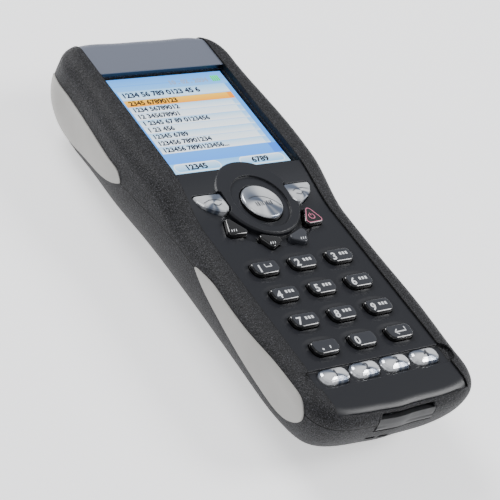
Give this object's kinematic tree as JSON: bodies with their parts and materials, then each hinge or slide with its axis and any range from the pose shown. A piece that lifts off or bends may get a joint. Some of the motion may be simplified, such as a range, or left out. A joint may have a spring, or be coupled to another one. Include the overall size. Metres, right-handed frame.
{
  "type": "portable barcode data terminal",
  "caption": "Hand-held barcode data terminal with a colour display, a round scan key, a phone-style keypad, a sliding battery door and a hinged port cover.",
  "frame": {"origin": "on the flat of the back, under the middle of the body", "axes": "+X to the right across the face, +Y along the body to the display end, +Z out of the face"},
  "size_m": [0.0568, 0.1303, 0.0241],
  "materials": {
    "shell": "fine leather-like moulded texture, dark grey",
    "smooth_panel": "smooth satin, dark blue-grey",
    "key_black": "gloss sides, satin grey top with white print",
    "key_gloss": "black gloss with small print",
    "key_bright": "bright plated under a clear cap",
    "window": "clear, flat",
    "display": "lit colour display",
    "insert": "light warm grey satin",
    "foam": "black foam",
    "seal": "black rubber",
    "mat": "grey silicone",
    "dome": "domes under film",
    "ribbon": "amber film",
    "board": "green lacquer",
    "battery": "satin wrap",
    "contact": "plated contacts in a black base",
    "engine": "black",
    "scan_glass": "deep red filter",
    "cover": "smooth dark grey",
    "steel": "plain"
  },
  "bodies": {
    "housing": {"face_panel": "smooth_panel", "brow_panel": "smooth_panel", "display_window": "window", "display_module": "display", "display_gasket": "foam", "display_frame": "engine", "display_ribbon": "ribbon", "side_insert_upper_left": "insert", "side_insert_upper_right": "insert", "side_insert_lower_left": "insert", "side_insert_lower_right": "insert", "front_housing": "shell", "rear_housing": "shell", "housing_seal": "seal", "battery_pack": "battery", "battery_contacts": "contact", "main_board": "board", "keypad_mat": "mat", "dome_sheet": "dome", "scan_engine": "engine", "scan_window": "scan_glass", "scan_ribbon": "ribbon", "beeper": "engine", "port_cover_pin": "steel", "interface_connector": "contact", "housing_screws": "steel"},
    "port_cover": {"port_cover": "cover"},
    "battery_door": {"battery_door": "shell"},
    "number_key_1": {"number_key_1": "key_black"},
    "number_key_2": {"number_key_2": "key_black"},
    "number_key_3": {"number_key_3": "key_black"},
    "number_key_4": {"number_key_4": "key_black"},
    "number_key_5": {"number_key_5": "key_black"},
    "number_key_6": {"number_key_6": "key_black"},
    "number_key_7": {"number_key_7": "key_black"},
    "number_key_8": {"number_key_8": "key_black"},
    "number_key_9": {"number_key_9": "key_black"},
    "number_key_10": {"number_key_10": "key_black"},
    "number_key_11": {"number_key_11": "key_black"},
    "number_key_12": {"number_key_12": "key_black"},
    "function_key_1": {"function_key_1": "key_bright"},
    "function_key_2": {"function_key_2": "key_bright"},
    "function_key_3": {"function_key_3": "key_bright"},
    "function_key_4": {"function_key_4": "key_bright"},
    "scan_key": {"scan_key": "key_bright"},
    "soft_key_left": {"soft_key_left": "key_bright"},
    "soft_key_right": {"soft_key_right": "key_bright"},
    "menu_key": {"menu_key": "key_gloss"},
    "clear_key": {"clear_key": "key_gloss"},
    "enter_key": {"enter_key": "key_gloss"},
    "power_key": {"power_key": "key_gloss"}
  },
  "joints": [
    {"name": "number_key_1_press", "type": "slide", "parent": "housing", "child": "number_key_1", "axis": [0, 0, -1], "range_m": [0, 0.0005], "stiffness_N_per_m": 400},
    {"name": "number_key_2_press", "type": "slide", "parent": "housing", "child": "number_key_2", "axis": [0, 0, -1], "range_m": [0, 0.0005], "stiffness_N_per_m": 400},
    {"name": "number_key_3_press", "type": "slide", "parent": "housing", "child": "number_key_3", "axis": [0, 0, -1], "range_m": [0, 0.0005], "stiffness_N_per_m": 400},
    {"name": "number_key_4_press", "type": "slide", "parent": "housing", "child": "number_key_4", "axis": [0, 0, -1], "range_m": [0, 0.0005], "stiffness_N_per_m": 400},
    {"name": "number_key_5_press", "type": "slide", "parent": "housing", "child": "number_key_5", "axis": [0, 0, -1], "range_m": [0, 0.0005], "stiffness_N_per_m": 400},
    {"name": "number_key_6_press", "type": "slide", "parent": "housing", "child": "number_key_6", "axis": [0, 0, -1], "range_m": [0, 0.0005], "stiffness_N_per_m": 400},
    {"name": "number_key_7_press", "type": "slide", "parent": "housing", "child": "number_key_7", "axis": [0, 0, -1], "range_m": [0, 0.0005], "stiffness_N_per_m": 400},
    {"name": "number_key_8_press", "type": "slide", "parent": "housing", "child": "number_key_8", "axis": [0, 0, -1], "range_m": [0, 0.0005], "stiffness_N_per_m": 400},
    {"name": "number_key_9_press", "type": "slide", "parent": "housing", "child": "number_key_9", "axis": [0, 0, -1], "range_m": [0, 0.0005], "stiffness_N_per_m": 400},
    {"name": "number_key_10_press", "type": "slide", "parent": "housing", "child": "number_key_10", "axis": [0, 0, -1], "range_m": [0, 0.0005], "stiffness_N_per_m": 400},
    {"name": "number_key_11_press", "type": "slide", "parent": "housing", "child": "number_key_11", "axis": [0, 0, -1], "range_m": [0, 0.0005], "stiffness_N_per_m": 400},
    {"name": "number_key_12_press", "type": "slide", "parent": "housing", "child": "number_key_12", "axis": [0, 0, -1], "range_m": [0, 0.0005], "stiffness_N_per_m": 400},
    {"name": "function_key_1_press", "type": "slide", "parent": "housing", "child": "function_key_1", "axis": [0, 0, -1], "range_m": [0, 0.0005], "stiffness_N_per_m": 400},
    {"name": "function_key_2_press", "type": "slide", "parent": "housing", "child": "function_key_2", "axis": [0, 0, -1], "range_m": [0, 0.0005], "stiffness_N_per_m": 400},
    {"name": "function_key_3_press", "type": "slide", "parent": "housing", "child": "function_key_3", "axis": [0, 0, -1], "range_m": [0, 0.0005], "stiffness_N_per_m": 400},
    {"name": "function_key_4_press", "type": "slide", "parent": "housing", "child": "function_key_4", "axis": [0, 0, -1], "range_m": [0, 0.0005], "stiffness_N_per_m": 400},
    {"name": "scan_key_press", "type": "slide", "parent": "housing", "child": "scan_key", "axis": [0, 0, -1], "range_m": [0, 0.0005], "stiffness_N_per_m": 400},
    {"name": "soft_key_left_press", "type": "slide", "parent": "housing", "child": "soft_key_left", "axis": [0, 0, -1], "range_m": [0, 0.0005], "stiffness_N_per_m": 400},
    {"name": "soft_key_right_press", "type": "slide", "parent": "housing", "child": "soft_key_right", "axis": [0, 0, -1], "range_m": [0, 0.0005], "stiffness_N_per_m": 400},
    {"name": "menu_key_press", "type": "slide", "parent": "housing", "child": "menu_key", "axis": [0, 0, -1], "range_m": [0, 0.0005], "stiffness_N_per_m": 400},
    {"name": "clear_key_press", "type": "slide", "parent": "housing", "child": "clear_key", "axis": [0, 0, -1], "range_m": [0, 0.0005], "stiffness_N_per_m": 400},
    {"name": "enter_key_press", "type": "slide", "parent": "housing", "child": "enter_key", "axis": [0, 0, -1], "range_m": [0, 0.0005], "stiffness_N_per_m": 400},
    {"name": "power_key_press", "type": "slide", "parent": "housing", "child": "power_key", "axis": [0, 0, -1], "range_m": [0, 0.0005], "stiffness_N_per_m": 400},
    {"name": "port_cover_hinge", "type": "hinge", "parent": "housing", "child": "port_cover", "pos_m": [0, -0.06405, 0.0157], "axis": [1, 0, 0], "range_deg": [0, 90]},
    {"name": "battery_door_slide", "type": "slide", "parent": "housing", "child": "battery_door", "axis": [0, -1, 0], "range_m": [0, 0.012]}
  ]
}
